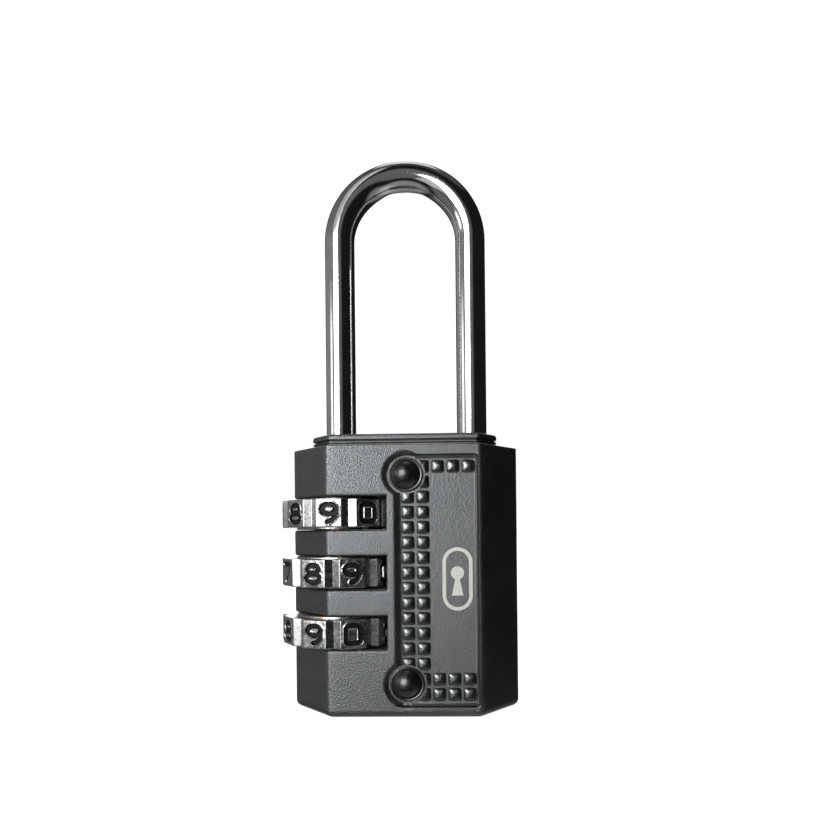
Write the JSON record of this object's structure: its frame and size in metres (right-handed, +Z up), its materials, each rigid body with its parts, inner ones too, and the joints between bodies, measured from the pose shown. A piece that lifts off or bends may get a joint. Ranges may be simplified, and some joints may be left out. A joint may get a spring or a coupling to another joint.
{
  "type": "combination padlock",
  "caption": "Bevelled padlock body with side number dials, a recessed panel of pillow squares and a tall bent-wire shackle that lifts clear of its right-hand socket.",
  "frame": {"origin": "centre of the body's flat bottom face, on the plane where the two shells meet", "axes": "+X to the right as the front is read, so the dials are at -X; +Y from front to back; +Z up along the shackle's legs"},
  "size_m": [0.0319, 0.0164, 0.0744],
  "materials": {
    "paint": "satin black paint with a fine orange peel over a zinc casting",
    "foil": "matt silver foil",
    "rivet_black": "gloss black lacquer over steel",
    "steel": "plain bright steel",
    "shackle_chrome": "polished chrome on bent steel wire",
    "brass": "turned brass",
    "dial_chrome": "chrome plate on a zinc casting, black paint in the sunk digits"
  },
  "bodies": {
    "body": {"front_shell": "paint", "rear_shell": "paint", "emblem": "foil", "rivets": "rivet_black", "dowel_pins": "steel", "shackle_bush": "brass", "thrust_ring": "brass", "spring_seat": "brass", "reset_spring": "steel", "click_spring_top": "steel", "click_spring_middle": "steel", "click_spring_bottom": "steel"},
    "shackle": {"shackle": "shackle_chrome"},
    "dial_top": {"dial_top": "dial_chrome"},
    "dial_middle": {"dial_middle": "dial_chrome"},
    "dial_bottom": {"dial_bottom": "dial_chrome"},
    "sleeve_top": {"sleeve_top": "brass"},
    "sleeve_middle": {"sleeve_middle": "brass"},
    "sleeve_bottom": {"sleeve_bottom": "brass"},
    "spring_washer": {"spring_washer": "steel"}
  },
  "joints": [
    {"name": "shackle_lift", "type": "slide", "parent": "body", "child": "shackle", "axis": [0, 0, 1], "range_m": [0, 0.0076]},
    {"name": "dial_top_turn", "type": "hinge", "parent": "body", "child": "dial_top", "pos_m": [-0.00875, 0, 0.02595], "axis": [0, 0, 1], "continuous": true, "deforming": ["click_spring_top"]},
    {"name": "dial_middle_turn", "type": "hinge", "parent": "body", "child": "dial_middle", "pos_m": [-0.00875, 0, 0.01835], "axis": [0, 0, 1], "continuous": true, "deforming": ["click_spring_middle"]},
    {"name": "dial_bottom_turn", "type": "hinge", "parent": "body", "child": "dial_bottom", "pos_m": [-0.00875, 0, 0.01075], "axis": [0, 0, 1], "continuous": true, "deforming": ["click_spring_bottom"]},
    {"name": "sleeve_top_reset", "type": "slide", "parent": "dial_top", "child": "sleeve_top", "axis": [0, 0, -1], "range_m": [0, 0.0017], "stiffness_N_per_m": 400, "springref_m": -0.002},
    {"name": "sleeve_middle_reset", "type": "slide", "parent": "dial_middle", "child": "sleeve_middle", "axis": [0, 0, -1], "range_m": [0, 0.0017]},
    {"name": "sleeve_bottom_reset", "type": "slide", "parent": "dial_bottom", "child": "sleeve_bottom", "axis": [0, 0, -1], "range_m": [0, 0.0017]},
    {"name": "spring_washer_reset", "type": "slide", "parent": "body", "child": "spring_washer", "axis": [0, 0, -1], "range_m": [0, 0.0017], "deforming": ["reset_spring"]}
  ],
  "couplings": [
    {"joint": "sleeve_middle_reset", "follows": "sleeve_top_reset", "ratio": 1},
    {"joint": "sleeve_bottom_reset", "follows": "sleeve_top_reset", "ratio": 1},
    {"joint": "spring_washer_reset", "follows": "sleeve_top_reset", "ratio": 1}
  ]
}
